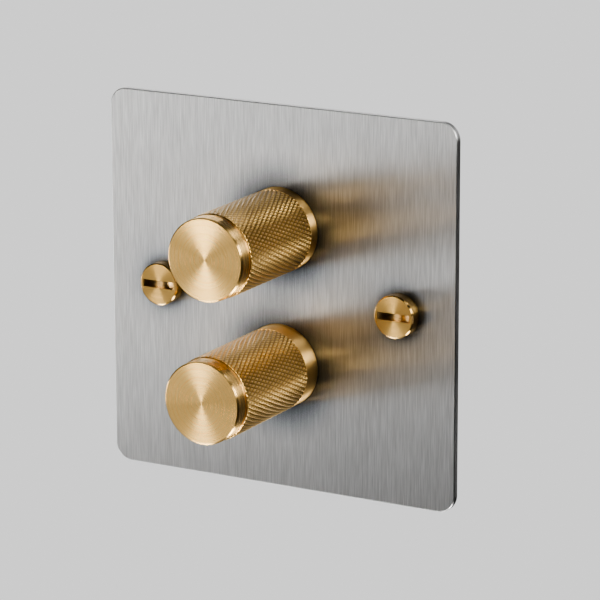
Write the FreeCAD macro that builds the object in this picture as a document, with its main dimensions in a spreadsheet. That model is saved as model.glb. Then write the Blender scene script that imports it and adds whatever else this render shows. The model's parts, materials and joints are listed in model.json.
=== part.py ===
"""Two-gang rotary dimmer switch: a square wall plate, two push-on, push-off knobs and their modules.

Row frame, in millimetres: the origin is the centre of the gasket's rear face, which lies on the wall.
+X is to the right seen from the room, +Z is up and +Y goes into the wall.

Every sub-part is drawn as seen from the room: x to the right, y up, and its height above the plate's rear
face towards the room. Heights behind that face are negative. FACING turns that drawing into the row frame,
and place() moves it out by the gasket's thickness.
"""
import FreeCAD, Part
import math
import os
import re
import Sketcher

Vector = FreeCAD.Vector
FACING = FreeCAD.Rotation(Vector(1, 0, 0), 90)

# ---------------------------------------------------------------------------------------------------------
# Driving dimensions
# ---------------------------------------------------------------------------------------------------------
DIMENSIONS = {
    # Face plate
    "plate_side": 88,
    "plate_thick": 1.5,
    "plate_corner": 4,
    "plate_edge": 0.2,
    "gang_pitch": 31.5,
    "knob_gap": 0.3,
    # Gasket between the plate and the wall
    "gasket_side": 86,
    "gasket_opening": 74,
    "gasket_corner": 3,
    "gasket_thick": 0.5,
    # Fixing screws of the standard one-gang wall box
    "screw_pitch": 60.3,
    "screw_radius": 1.75,
    "screw_hole_radius": 2.0,
    "screw_length": 20,
    "screw_neck_radius": 1.4,
    "screw_neck_length": 3.5,
    "screw_head_radius": 4.9,
    "screw_head_height": 2.9,
    "screw_head_chamfer": 0.3,
    "screw_slot_length": 8.0,
    "screw_slot_width": 1.7,
    "screw_slot_depth": 1.2,
    "retainer_radius": 3.5,
    "retainer_thick": 1.2,
    "retainer_gap": 0.05,
    # Knob, with its front face's reach in front of the plate when pushed in
    "knob_reach": 32.6,
    "push_travel": 2.0,
    "face_radius": 9.0,
    "band_radius": 9.4,
    "cap_length": 3.1,
    "cap_rear_break": 0.15,
    "neck_radius": 9.1,
    "neck_length": 0.3,
    "grip_radius": 9.6,
    "grip_chamfer": 0.4,
    "grip_length": 26.5,
    "skirt_depth": 3.3,
    "skirt_bore": 8.2,
    "skirt_break": 0.3,
    "spigot_radius": 7.0,
    "spigot_length": 3.5,
    "spigot_gap": 0.1,
    "hub_radius": 4.6,
    "hub_front": 27.0,
    "hub_back": 8.0,
    # Spindle
    "spindle_radius": 3.0,
    "spindle_front": 24,
    "spindle_flat": 1.5,
    "flat_back": 9.5,
    "collar_radius": 4.0,
    "collar_thick": 0.8,
    "tang_radius": 2.0,
    "tang_flat": 1.2,
    "running_gap": 0.05,
    "small_gap": 0.1,
    # Mounting frame
    "sheet_thick": 0.4,
    "sheet_width": 45,
    "sheet_height": 67,
    "frame_width": 44,
    "frame_height": 66,
    "frame_thick": 1.2,
    "frame_channel": 54.4,
    "frame_floor": 8.0,
    "stud_radius": 1.5,
    "stud_x": 17,
    "stud_y": 30.1,
    "stud_length": 5.0,
    "stud_nut_flats": 5.5,
    "stud_nut_thick": 2.4,
    # Control bush with its nut and lock washer
    "bush_radius": 5.0,
    "bush_front": 3.0,
    "flange_radius": 8.6,
    "flange_thick": 1.2,
    "nut_flats": 14,
    "nut_thick": 2.5,
    "washer_radius": 7.6,
    "washer_thick": 0.6,
    # Potentiometer
    "pot_bore": 7.6,
    "pot_depth": 7.3,
    "pot_hub_radius": 3.4,
    "rotor_radius": 7.2,
    "rotor_drop": 0.8,
    "rotor_thick": 2.0,
    "finger_thick": 0.5,
    "finger_inner": 5.0,
    "finger_outer": 6.6,
    "finger_width": 1.6,
    "track_thick": 0.8,
    "track_gap": 0.3,
    # Circuit board
    "board_width": 43,
    "board_height": 26,
    "board_thick": 1.6,
    "board_hole": 3.2,
    # Push switch
    "switch_side": 12,
    "switch_depth": 8.2,
    "switch_wall": 1.0,
    "switch_bore": 4.4,
    "plunger_radius": 2.8,
    "plunger_hole": 3.0,
    "plunger_head_radius": 4.1,
    "plunger_head_thick": 1.2,
    "plunger_stem": 3.4,
    "spring_radius": 3.2,
    "spring_wire": 0.4,
    "spring_turns": 4,
    # Module case and its cover
    "case_width": 47,
    "case_height": 30,
    "case_corner": 2,
    "case_wall": 1.5,
    "case_depth": 20.3,
    "cover_thick": 1.5,
    "vent_length": 9,
    "vent_width": 1.2,
    "vent_pitch": 3.0,
    # Terminals
    "terminal_x": 16.4,
    "terminal_pitch": 7.0,
    "terminal_width": 9.4,
    "terminal_height": 21,
    "terminal_depth": 8.0,
    "clamp_side": 5.4,
    "clamp_depth": 6.0,
    "clamp_gap": 0.1,
    "wire_radius": 1.7,
    "wire_lead_in": 2.0,
    "terminal_screw_radius": 1.4,
    "terminal_head_radius": 2.3,
    "terminal_head_height": 1.6,
    "terminal_slot_width": 0.7,
    "terminal_slot_depth": 0.8,
    # Power parts
    "sink_x": 20.2,
    "sink_thick": 1.6,
    "sink_height": 24,
    "sink_depth": 8.0,
    "transistor_thick": 4.4,
    "transistor_width": 9.6,
    "transistor_depth": 6.6,
    "transistor_y": 6.0,
    "leg_pitch": 2.5,
    "leg_side": 0.7,
    "parts_x": 10.6,
    "choke_y": 6.6,
    "choke_radius": 3.8,
    "choke_core": 1.6,
    "choke_flange": 1.0,
    "choke_depth": 7.4,
    "capacitor_y": 6.4,
    "capacitor_width": 6.6,
    "capacitor_height": 9.6,
    "capacitor_depth": 7.2,
    # Earth connection
    "earth_x": 27.4,
    "earth_y": 24,
    "earth_side": 8,
    "earth_depth": 7,
    "earth_head_radius": 3.2,
    "earth_head_height": 1.8,
    "earth_screw_reach": 3.6,
}

doc = FreeCAD.newDocument("DimmerSwitch")
sheet = doc.addObject("Spreadsheet::Sheet", "Sizes")
for row, (alias, number) in enumerate(DIMENSIONS.items(), 1):
    sheet.set(f"A{row}", alias.replace("_", " "))
    sheet.set(f"B{row}", str(number))
    sheet.setAlias(f"B{row}", alias)
doc.recompute()

# Heights that several sub-parts share, as expressions of the sheet's names
KNOB_FRONT = "(plate_thick + knob_reach)"
CAP_BACK = f"({KNOB_FRONT} - cap_length)"
FRAME_BACK = "(-frame_floor - frame_thick)"
FLANGE_FRONT = f"({FRAME_BACK} - case_wall)"
FLANGE_BACK = f"({FLANGE_FRONT} - flange_thick)"
COLLAR_FRONT = f"({FLANGE_BACK} - small_gap - push_travel)"
COLLAR_BACK = f"({COLLAR_FRONT} - collar_thick)"
ROTOR_FRONT = f"({COLLAR_BACK} - rotor_drop)"
ROTOR_BACK = f"({ROTOR_FRONT} - rotor_thick)"
POT_BACK = f"({FLANGE_BACK} - pot_depth)"
BOARD_BACK = f"({POT_BACK} - board_thick)"
PLUNGER_FRONT = f"({BOARD_BACK} + 2 * small_gap)"
PLUNGER_BACK = f"({PLUNGER_FRONT} - plunger_stem - plunger_head_thick)"
SPRING_SEAT = f"({BOARD_BACK} - switch_depth + switch_wall)"
CASE_BACK = f"({FRAME_BACK} - case_depth)"
TERMINAL_BACK = f"({BOARD_BACK} - terminal_depth)"

# Each gang's centre, and how far its knob is out: the upper knob is latched in and the lower knob is out
GANGS = {
    "upper": ("gang_pitch / 2", "0"),
    "lower": ("-gang_pitch / 2", "push_travel"),
}
TERMINAL_ROWS = ("-terminal_pitch", "0", "terminal_pitch")
SIDES = (-1, 1)


# ---------------------------------------------------------------------------------------------------------
# Helpers
# ---------------------------------------------------------------------------------------------------------
def value(expression):
    """The number that an expression of the sheet's names gives."""
    return float(sheet.evalExpression(expression))


def bind(item, path, expression):
    """Ties a property to the sheet: each of its names in the expression becomes a reference to it."""
    def reference(word):
        return f"Sizes.{word[0]}" if word[0] in DIMENSIONS else word[0]

    item.setExpression(path, re.sub(r"[a-z_]+", reference, expression))


def place(item, up="0", out="0"):
    """Stands a sub-part at its gang's centre, moved out of the wall by a knob's travel."""
    item.Placement = FreeCAD.Placement(Vector(0, 0, 0), FACING)
    bind(item, "Placement.Base.y", f"-gasket_thick - ({out})")
    bind(item, "Placement.Base.z", up)


def new_body(label, up="0", out="0"):
    body = doc.addObject("PartDesign::Body", label)
    body.Label = label
    body.AllowCompound = True
    place(body, up, out)
    return body


def new_sketch(body, height="0", role="XY_Plane"):
    """A sketch on one of the body's origin planes, raised above it by height."""
    drawing = body.newObject("Sketcher::SketchObject", f"{body.Label}_sketch")
    plane = next(item for item in body.Origin.OriginFeatures if item.Role == role)
    drawing.AttachmentSupport = [(plane, "")]
    drawing.MapMode = "FlatFace"
    bind(drawing, "AttachmentOffset.Base.z", height)
    return drawing


def dimension(drawing, kind, where, expression):
    """A sketch dimension tied to the sheet."""
    index = drawing.addConstraint(Sketcher.Constraint(kind, *where, value(expression)))
    bind(drawing, f"Constraints[{index}]", expression)


def fix_point(drawing, item, end, across, along):
    """Places one point of a sketch item from the sketch's origin."""
    dimension(drawing, "DistanceX", (-1, 1, item, end), across)
    dimension(drawing, "DistanceY", (-1, 1, item, end), along)


def outline(drawing, points):
    """A closed outline of straight lines through points given as pairs of expressions."""
    spots = [Vector(value(across), value(along), 0) for across, along in points]
    first = drawing.GeometryCount
    for start, end in zip(spots, spots[1:] + spots[:1]):
        drawing.addGeometry(Part.LineSegment(start, end))
    for step in range(len(spots)):
        following = first + (step + 1) % len(spots)
        drawing.addConstraint(Sketcher.Constraint("Coincident", first + step, 2, following, 1))
        fix_point(drawing, first + step, 1, *points[step])


def rectangle(drawing, width, height, x="0", y="0"):
    left, right = f"{x} - ({width}) / 2", f"{x} + ({width}) / 2"
    low, high = f"{y} - ({height}) / 2", f"{y} + ({height}) / 2"
    outline(drawing, [(left, low), (right, low), (right, high), (left, high)])


def circle(drawing, radius, x="0", y="0"):
    centre = Vector(value(x), value(y), 0)
    item = drawing.addGeometry(Part.Circle(centre, Vector(0, 0, 1), value(radius)))
    dimension(drawing, "Radius", (item,), radius)
    fix_point(drawing, item, 3, x, y)


def hexagon(drawing, flats, x="0", y="0"):
    """A hexagon with two level corners, from its width across flats."""
    corner = f"({flats}) / sqrt(3)"
    points = []
    for step in range(6):
        angle = f"{60 * step} deg"
        points.append((f"{x} + {corner} * cos({angle})", f"{y} + {corner} * sin({angle})"))
    outline(drawing, points)


def d_shape(drawing, radius, flat):
    """A circle cut by a flat at a distance above its centre: one long arc and one line."""
    reach = math.acos(value(flat) / value(radius))
    rim = Part.Circle(Vector(0, 0, 0), Vector(0, 0, 1), value(radius))
    arc = drawing.addGeometry(Part.ArcOfCircle(rim, math.pi / 2 + reach, 5 * math.pi / 2 - reach))
    ends = drawing.Geometry[arc].EndPoint, drawing.Geometry[arc].StartPoint
    line = drawing.addGeometry(Part.LineSegment(*ends))
    drawing.addConstraint(Sketcher.Constraint("Coincident", arc, 2, line, 1))
    drawing.addConstraint(Sketcher.Constraint("Coincident", arc, 1, line, 2))
    drawing.addConstraint(Sketcher.Constraint("Coincident", arc, 3, -1, 1))
    drawing.addConstraint(Sketcher.Constraint("Horizontal", line))
    dimension(drawing, "Radius", (arc,), radius)
    dimension(drawing, "DistanceY", (-1, 1, line, 1), flat)


def pad(body, drawing, length):
    """Thickens a sketch towards the room."""
    feature = body.newObject("PartDesign::Pad", f"{body.Label}_pad")
    feature.Profile = drawing
    bind(feature, "Length", length)
    return feature


def cut(body, drawing, length, both_ways=False):
    """Cuts a sketch away from the room, or to both sides of its plane, and checks that material went."""
    doc.recompute()
    before = body.Shape.Volume
    feature = body.newObject("PartDesign::Pocket", f"{body.Label}_pocket")
    feature.Profile = drawing
    bind(feature, "Length", length)
    feature.Midplane = both_ways
    doc.recompute()
    if body.Shape.Volume > before - 1e-4:
        raise RuntimeError(f"{body.Label}: a pocket cut nothing")
    return feature


def turned(label, points, up="0", out="0"):
    """A turned sub-part: its half section as (radius, height) pairs, revolved about its gang's axis."""
    body = new_body(label, up, out)
    drawing = new_sketch(body, role="XZ_Plane")
    outline(drawing, points)
    feature = body.newObject("PartDesign::Revolution", f"{label}_turning")
    feature.Profile = drawing
    feature.ReferenceAxis = (drawing, ["V_Axis"])
    feature.Angle = 360
    return body


def round_corners(body, radius, count=4):
    """Rounds the upright edges of a body's padded outline."""
    doc.recompute()
    tip = body.Tip
    upright = []
    for number, edge in enumerate(tip.Shape.Edges, 1):
        straight = isinstance(edge.Curve, Part.Line)
        if straight and abs(edge.tangentAt(edge.FirstParameter).z) > 0.99:
            upright.append(f"Edge{number}")
    if len(upright) != count:
        raise RuntimeError(f"{body.Label}: {len(upright)} upright edges")
    feature = body.newObject("PartDesign::Fillet", f"{body.Label}_corners")
    feature.Base = (tip, upright)
    bind(feature, "Radius", radius)
    doc.recompute()


# ---------------------------------------------------------------------------------------------------------
# Plate, frame and fasteners
# ---------------------------------------------------------------------------------------------------------
def stud_places():
    return [(f"{x} * stud_x", f"{y} * stud_y") for x in SIDES for y in SIDES]


def face_plate():
    body = new_body("face_plate")
    side = new_sketch(body)
    rectangle(side, "plate_side", "plate_side")
    pad(body, side, "plate_thick")
    round_corners(body, "plate_corner")
    rounded = body.Tip
    front_edges = []
    for number, edge in enumerate(rounded.Shape.Edges, 1):
        if edge.BoundBox.ZMin > value("plate_thick") - 0.01:
            front_edges.append(f"Edge{number}")
    break_edge = body.newObject("PartDesign::Chamfer", "face_plate_edge")
    break_edge.Base = (rounded, front_edges)
    bind(break_edge, "Size", "plate_edge")
    holes = new_sketch(body, "plate_thick")
    for up, _ in GANGS.values():
        circle(holes, "band_radius + knob_gap", y=up)
    for sign in SIDES:
        circle(holes, "screw_hole_radius", x=f"{sign} * screw_pitch / 2")
    cut(body, holes, "plate_thick")
    return body


def gasket():
    """A thin ring that lies on the wall round the box's opening."""
    body = new_body("gasket")
    ring = new_sketch(body, "-gasket_thick")
    rectangle(ring, "gasket_side", "gasket_side")
    pad(body, ring, "gasket_thick")
    round_corners(body, "gasket_corner")
    opening = new_sketch(body)
    rectangle(opening, "gasket_opening", "gasket_opening")
    cut(body, opening, "gasket_thick")
    return body


def plate_studs():
    body = new_body("plate_studs")
    studs = new_sketch(body, "-stud_length")
    for x, y in stud_places():
        circle(studs, "stud_radius", x, y)
    pad(body, studs, "stud_length")
    return body


def insulating_sheet():
    body = new_body("insulating_sheet")
    flat = new_sketch(body, "-sheet_thick")
    rectangle(flat, "sheet_width", "sheet_height")
    for up, _ in GANGS.values():
        circle(flat, "band_radius + knob_gap + small_gap", y=up)
    for x, y in stud_places():
        circle(flat, "stud_radius + small_gap", x, y)
    pad(body, flat, "sheet_thick")
    return body


def mounting_frame():
    """A pressed strip: two flanges against the plate and a set-back floor that carries the modules."""
    body = new_body("mounting_frame")
    strip = new_sketch(body, role="YZ_Plane")
    flange, wall = "frame_height / 2", "frame_channel / 2"
    front, back = "-sheet_thick", "-sheet_thick - frame_thick"
    floor = "-frame_floor"
    inner = f"{wall} - frame_thick"
    right = [(inner, front), (flange, front), (flange, back), (wall, back), (wall, FRAME_BACK)]
    left = [(f"-({across})", height) for across, height in reversed(right)]
    outline(strip, [(inner, floor)] + right + left + [(f"-({inner})", floor)])
    pad(body, strip, "frame_width").Midplane = True
    holes = new_sketch(body, "0")
    for up, _ in GANGS.values():
        circle(holes, "bush_radius + small_gap", y=up)
    for x, y in stud_places():
        circle(holes, "stud_radius + small_gap", x, y)
    cut(body, holes, "frame_floor + 2 * frame_thick")
    return body


def frame_nuts():
    body = new_body("frame_nuts")
    nuts = new_sketch(body, "-sheet_thick - frame_thick - stud_nut_thick")
    for x, y in stud_places():
        hexagon(nuts, "stud_nut_flats", x, y)
        circle(nuts, "stud_radius", x, y)
    pad(body, nuts, "stud_nut_thick")
    return body


def fixing_screw(label, sign):
    """A turned head with a slot sunk by a round cutter, a thin neck and a shank of thread size."""
    head_front = "(plate_thick + screw_head_height)"
    neck_back = "plate_thick - screw_neck_length"
    points = [
        ("0", "plate_thick - screw_length"),
        ("screw_radius", "plate_thick - screw_length"),
        ("screw_radius", neck_back),
        ("screw_neck_radius", neck_back),
        ("screw_neck_radius", "plate_thick"),
        ("screw_head_radius", "plate_thick"),
        ("screw_head_radius", f"{head_front} - screw_head_chamfer"),
        ("screw_head_radius - screw_head_chamfer", head_front),
        ("0", head_front),
    ]
    body = turned(label, points)
    bind(body, "Placement.Base.x", f"{sign} * screw_pitch / 2")
    cutter = "(screw_slot_length ^ 2 / 8 / screw_slot_depth + screw_slot_depth / 2)"
    slot = new_sketch(body, role="XZ_Plane")
    circle(slot, cutter, "0", f"{head_front} - screw_slot_depth + {cutter}")
    cut(body, slot, "screw_slot_width", both_ways=True)
    return body


def screw_retainers():
    """A washer on each fixing screw's neck, which keeps the screw in the plate."""
    body = new_body("screw_retainers")
    rings = new_sketch(body, "-retainer_thick")
    for sign in SIDES:
        middle = f"{sign} * screw_pitch / 2"
        circle(rings, "retainer_radius", x=middle)
        circle(rings, "screw_neck_radius + retainer_gap", x=middle)
    pad(body, rings, "retainer_thick")
    return body


def earth_terminal():
    body = new_body("earth_terminal")
    block = new_sketch(body, "-earth_depth")
    rectangle(block, "earth_side", "earth_side", "-earth_x", "earth_y")
    pad(body, block, "earth_depth")
    threaded = new_sketch(body, "-earth_depth + earth_screw_reach")
    circle(threaded, "screw_radius", "-earth_x", "earth_y")
    cut(body, threaded, "earth_screw_reach")
    wire = new_sketch(body, role="XZ_Plane")
    circle(wire, "wire_radius", "-earth_x", "-earth_depth / 2")
    cut(body, wire, "plate_side", both_ways=True)
    return body


def earth_screw():
    head_back = "(-earth_depth - earth_head_height)"
    tip = "-earth_depth + earth_screw_reach - small_gap"
    body = turned("earth_screw", [
        ("0", head_back),
        ("earth_head_radius", head_back),
        ("earth_head_radius", "-earth_depth"),
        ("screw_radius", "-earth_depth"),
        ("screw_radius", tip),
        ("0", tip),
    ], up="earth_y")
    bind(body, "Placement.Base.x", "-earth_x")
    slot = new_sketch(body, f"{head_back} + terminal_slot_depth")
    rectangle(slot, "2 * earth_head_radius + 2 * small_gap", "terminal_slot_width")
    cut(body, slot, "2 * terminal_slot_depth")
    return body


def bush_nuts():
    body = new_body("bush_nuts")
    nuts = new_sketch(body, "-frame_floor + washer_thick")
    for up, _ in GANGS.values():
        hexagon(nuts, "nut_flats", y=up)
        circle(nuts, "bush_radius", y=up)
    pad(body, nuts, "nut_thick")
    return body


def lock_washers():
    body = new_body("lock_washers")
    rings = new_sketch(body, "-frame_floor")
    for up, _ in GANGS.values():
        circle(rings, "washer_radius", y=up)
        circle(rings, "bush_radius + small_gap", y=up)
    pad(body, rings, "washer_thick")
    return body


# ---------------------------------------------------------------------------------------------------------
# Knob and spindle of one gang
# ---------------------------------------------------------------------------------------------------------
def knob_cap(gang, up, out):
    spigot_back = f"{CAP_BACK} - spigot_length"
    return turned(f"{gang}_knob_cap", [
        ("0", spigot_back),
        ("spigot_radius", spigot_back),
        ("spigot_radius", CAP_BACK),
        ("band_radius - cap_rear_break", CAP_BACK),
        ("band_radius", f"{CAP_BACK} + cap_rear_break"),
        ("band_radius", f"{KNOB_FRONT} - (band_radius - face_radius)"),
        ("face_radius", KNOB_FRONT),
        ("0", KNOB_FRONT),
    ], up, out)


def knob_body(gang, up, out):
    """The knurled grip at its full radius, a plain band that runs into the plate, and a hollow skirt."""
    grip_front = f"({CAP_BACK} - neck_length)"
    grip_back = f"({grip_front} - grip_length)"
    socket_back = f"{CAP_BACK} - spigot_length - spigot_gap"
    return turned(f"{gang}_knob_body", [
        ("spigot_radius", CAP_BACK),
        ("neck_radius", CAP_BACK),
        ("neck_radius", grip_front),
        ("grip_radius", f"{grip_front} - grip_chamfer"),
        ("grip_radius", grip_back),
        ("band_radius", grip_back),
        ("band_radius", "-skirt_depth + skirt_break"),
        ("band_radius - skirt_break", "-skirt_depth"),
        ("skirt_bore", "-skirt_depth"),
        ("skirt_bore", "hub_back"),
        ("hub_radius", "hub_back"),
        ("hub_radius", socket_back),
        ("spigot_radius", socket_back),
    ], up, out)


def knob_insert(gang, up, out):
    body = new_body(f"{gang}_knob_insert", up, out)
    hub = new_sketch(body, "hub_back")
    circle(hub, "hub_radius")
    pad(body, hub, "hub_front - hub_back")
    hole = new_sketch(body, "spindle_front")
    d_shape(hole, "spindle_radius", "spindle_flat")
    cut(body, hole, "spindle_front - flat_back")
    mouth = new_sketch(body, "flat_back")
    circle(mouth, "spindle_radius")
    cut(body, mouth, "flat_back - hub_back")
    return body


def spindle(gang, up, out):
    """A round shaft with a flat for the knob, a stop collar, and a tang with a flat for the wiper."""
    tang_back = f"({PLUNGER_FRONT} + small_gap / 2)"
    body = turned(f"{gang}_spindle", [
        ("0", COLLAR_BACK),
        ("collar_radius", COLLAR_BACK),
        ("collar_radius", COLLAR_FRONT),
        ("spindle_radius", COLLAR_FRONT),
        ("spindle_radius", "flat_back"),
        ("0", "flat_back"),
    ], up, out)
    front = new_sketch(body, "flat_back")
    d_shape(front, "spindle_radius", "spindle_flat")
    pad(body, front, "spindle_front - flat_back")
    tang = new_sketch(body, tang_back)
    d_shape(tang, "tang_radius", "tang_flat")
    pad(body, tang, f"{COLLAR_BACK} - {tang_back}")
    return body


# ---------------------------------------------------------------------------------------------------------
# Control module of one gang
# ---------------------------------------------------------------------------------------------------------
def control_bush(gang, up, out):
    bore = "spindle_radius + running_gap"
    return turned(f"{gang}_control_bush", [
        (bore, FLANGE_BACK),
        ("flange_radius", FLANGE_BACK),
        ("flange_radius", FLANGE_FRONT),
        ("bush_radius", FLANGE_FRONT),
        ("bush_radius", "-bush_front"),
        (bore, "-bush_front"),
    ], up)


def pot_housing(gang, up, out):
    hole = "plunger_hole"
    return turned(f"{gang}_pot_housing", [
        ("flange_radius", FLANGE_BACK),
        ("flange_radius", POT_BACK),
        (hole, POT_BACK),
        (hole, f"{POT_BACK} + track_thick"),
        ("pot_bore", f"{POT_BACK} + track_thick"),
        ("pot_bore", FLANGE_BACK),
    ], up)


def resistance_track(gang, up, out):
    """A ring of resistive film on the floor of the potentiometer."""
    body = new_body(f"{gang}_resistance_track", up)
    ring = new_sketch(body, f"{POT_BACK} + track_thick")
    circle(ring, "pot_bore")
    circle(ring, "pot_hub_radius")
    pad(body, ring, "track_gap")
    return body


def wiper_rotor(gang, up, out):
    body = new_body(f"{gang}_wiper_rotor", up)
    disc = new_sketch(body, ROTOR_BACK)
    circle(disc, "rotor_radius")
    pad(body, disc, "rotor_thick")
    hole = new_sketch(body, ROTOR_FRONT)
    d_shape(hole, "tang_radius + small_gap", "tang_flat + small_gap")
    cut(body, hole, "rotor_thick")
    return body


def wiper_contact(gang, up, out):
    """The sprung contact under the rotor: a bar with two fingers over the track."""
    body = new_body(f"{gang}_wiper_contact", up)
    fingers = new_sketch(body, f"{ROTOR_BACK} - finger_thick")
    length, centre = "finger_outer - finger_inner", "-(finger_inner + finger_outer) / 2"
    for sign in SIDES:
        rectangle(fingers, "finger_width", length, f"{sign} * finger_width", centre)
    rectangle(fingers, "3 * finger_width", "finger_inner / 4", "0", "-finger_inner * 7 / 8")
    pad(body, fingers, "finger_thick")
    return body


def circuit_board(gang, up, out):
    body = new_body(f"{gang}_circuit_board", up)
    board = new_sketch(body, BOARD_BACK)
    rectangle(board, "board_width", "board_height")
    circle(board, "board_hole")
    pad(body, board, "board_thick")
    return body


def push_switch_body(gang, up, out):
    body = new_body(f"{gang}_push_switch_body", up)
    shell = new_sketch(body, f"{BOARD_BACK} - switch_depth")
    rectangle(shell, "switch_side", "switch_side")
    pad(body, shell, "switch_depth")
    mouth = new_sketch(body, BOARD_BACK)
    circle(mouth, "plunger_hole")
    cut(body, mouth, "switch_wall")
    chamber = body.newObject("PartDesign::SubtractiveCylinder", f"{gang}_switch_chamber")
    bind(chamber, "Radius", "switch_bore")
    bind(chamber, "Height", "switch_depth - 2 * switch_wall")
    bind(chamber, "AttachmentOffset.Base.z", SPRING_SEAT)
    plane = next(item for item in body.Origin.OriginFeatures if item.Role == "XY_Plane")
    chamber.AttachmentSupport = [(plane, "")]
    chamber.MapMode = "FlatFace"
    return body


def switch_plunger(gang, up, out):
    shoulder = f"{PLUNGER_FRONT} - plunger_stem"
    return turned(f"{gang}_switch_plunger", [
        ("0", PLUNGER_BACK),
        ("plunger_head_radius", PLUNGER_BACK),
        ("plunger_head_radius", shoulder),
        ("plunger_radius", shoulder),
        ("plunger_radius", PLUNGER_FRONT),
        ("0", PLUNGER_FRONT),
    ], up, out)


def return_spring(gang, up, out):
    """A coil spring from the switch's rear wall to the plunger, longer where the knob is out."""
    body = new_body(f"{gang}_return_spring", up)
    wire = new_sketch(body, role="XZ_Plane")
    circle(wire, "spring_wire / 2", "spring_radius", f"{SPRING_SEAT} + spring_wire / 2 + small_gap / 2")
    coil = body.newObject("PartDesign::AdditiveHelix", f"{gang}_coil")
    coil.Profile = wire
    coil.ReferenceAxis = (wire, ["V_Axis"])
    coil.Mode = "height-turns-growth"
    bind(coil, "Turns", "spring_turns")
    bind(coil, "Height", f"{PLUNGER_BACK} + {out} - {SPRING_SEAT} - spring_wire - small_gap")
    return body


def module_case(gang, up, out):
    """An open-backed moulded box with a hole for the bush and cable entries in its left wall."""
    body = new_body(f"{gang}_module_case", up)
    shell = new_sketch(body, CASE_BACK)
    rectangle(shell, "case_width", "case_height")
    pad(body, shell, "case_depth")
    round_corners(body, "case_corner")
    room = new_sketch(body, FLANGE_FRONT)
    rectangle(room, "case_width - 2 * case_wall", "case_height - 2 * case_wall")
    cut(body, room, "case_depth - case_wall")
    hole = new_sketch(body, FRAME_BACK)
    circle(hole, "bush_radius + small_gap")
    cut(body, hole, "case_wall")
    entries = new_sketch(body, "-case_width / 2 + case_wall / 2", "YZ_Plane")
    for row in TERMINAL_ROWS:
        circle(entries, "wire_lead_in", row, f"{TERMINAL_BACK} + clamp_depth / 2 + clamp_gap")
    cut(body, entries, "2 * case_wall", both_ways=True)
    return body


def rear_cover(gang, up, out):
    """The lid of the case, with holes over the terminal screws and slots behind the heat sink."""
    body = new_body(f"{gang}_rear_cover", up)
    lid = new_sketch(body, f"{CASE_BACK} - cover_thick")
    rectangle(lid, "case_width", "case_height")
    pad(body, lid, "cover_thick")
    round_corners(body, "case_corner")
    openings = new_sketch(body, CASE_BACK)
    for row in TERMINAL_ROWS:
        circle(openings, "terminal_head_radius + 2 * small_gap", "-terminal_x", row)
    for column in range(5):
        rectangle(openings, "vent_width", "vent_length", f"parts_x + {column - 2} * vent_pitch", "0")
    cut(body, openings, "cover_thick")
    return body


def terminal_block(gang, up, out):
    """A moulded strip with three pockets for the clamps, open to the rear and to the cable entries."""
    body = new_body(f"{gang}_terminal_block", up)
    strip = new_sketch(body, TERMINAL_BACK)
    rectangle(strip, "terminal_width", "terminal_height", "-terminal_x")
    pad(body, strip, "terminal_depth")
    pockets = new_sketch(body, f"{TERMINAL_BACK} + clamp_depth + 2 * clamp_gap")
    for row in TERMINAL_ROWS:
        room = "clamp_side + 2 * clamp_gap"
        rectangle(pockets, room, room, "-terminal_x", row)
    cut(body, pockets, "clamp_depth + 2 * clamp_gap")
    entries = new_sketch(body, "-terminal_x - terminal_width / 2", "YZ_Plane")
    for row in TERMINAL_ROWS:
        circle(entries, "wire_radius", row, f"{TERMINAL_BACK} + clamp_depth / 2 + clamp_gap")
    cut(body, entries, "terminal_width - clamp_side", both_ways=True)
    return body


def terminal_clamps(gang, up, out):
    body = new_body(f"{gang}_terminal_clamps", up)
    blocks = new_sketch(body, f"{TERMINAL_BACK} + clamp_gap")
    for row in TERMINAL_ROWS:
        rectangle(blocks, "clamp_side", "clamp_side", "-terminal_x", row)
    pad(body, blocks, "clamp_depth")
    threads = new_sketch(body, f"{TERMINAL_BACK} + clamp_gap + clamp_depth / 2")
    for row in TERMINAL_ROWS:
        circle(threads, "terminal_screw_radius", "-terminal_x", row)
    cut(body, threads, "clamp_depth / 2")
    wires = new_sketch(body, "-terminal_x", "YZ_Plane")
    for row in TERMINAL_ROWS:
        circle(wires, "wire_radius - small_gap", row, f"{TERMINAL_BACK} + clamp_depth / 2 + clamp_gap")
    cut(body, wires, "2 * clamp_side", both_ways=True)
    return body


def terminal_screws(gang, up, out):
    body = new_body(f"{gang}_terminal_screws", up)
    shanks = new_sketch(body, f"{TERMINAL_BACK}")
    for row in TERMINAL_ROWS:
        circle(shanks, "terminal_screw_radius", "-terminal_x", row)
    pad(body, shanks, "clamp_depth / 4")
    heads_back = f"{TERMINAL_BACK} + clamp_gap - terminal_head_height"
    heads = new_sketch(body, heads_back)
    for row in TERMINAL_ROWS:
        circle(heads, "terminal_head_radius", "-terminal_x", row)
    pad(body, heads, "terminal_head_height")
    slots = new_sketch(body, f"{heads_back} + terminal_slot_depth")
    across = "2 * terminal_head_radius + 2 * small_gap"
    for row in TERMINAL_ROWS:
        rectangle(slots, across, "terminal_slot_width", "-terminal_x", row)
    cut(body, slots, "2 * terminal_slot_depth")
    return body


def heat_sink(gang, up, out):
    body = new_body(f"{gang}_heat_sink", up)
    plate = new_sketch(body, f"{BOARD_BACK} - sink_depth")
    rectangle(plate, "sink_thick", "sink_height", "sink_x")
    pad(body, plate, "sink_depth")
    return body


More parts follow.
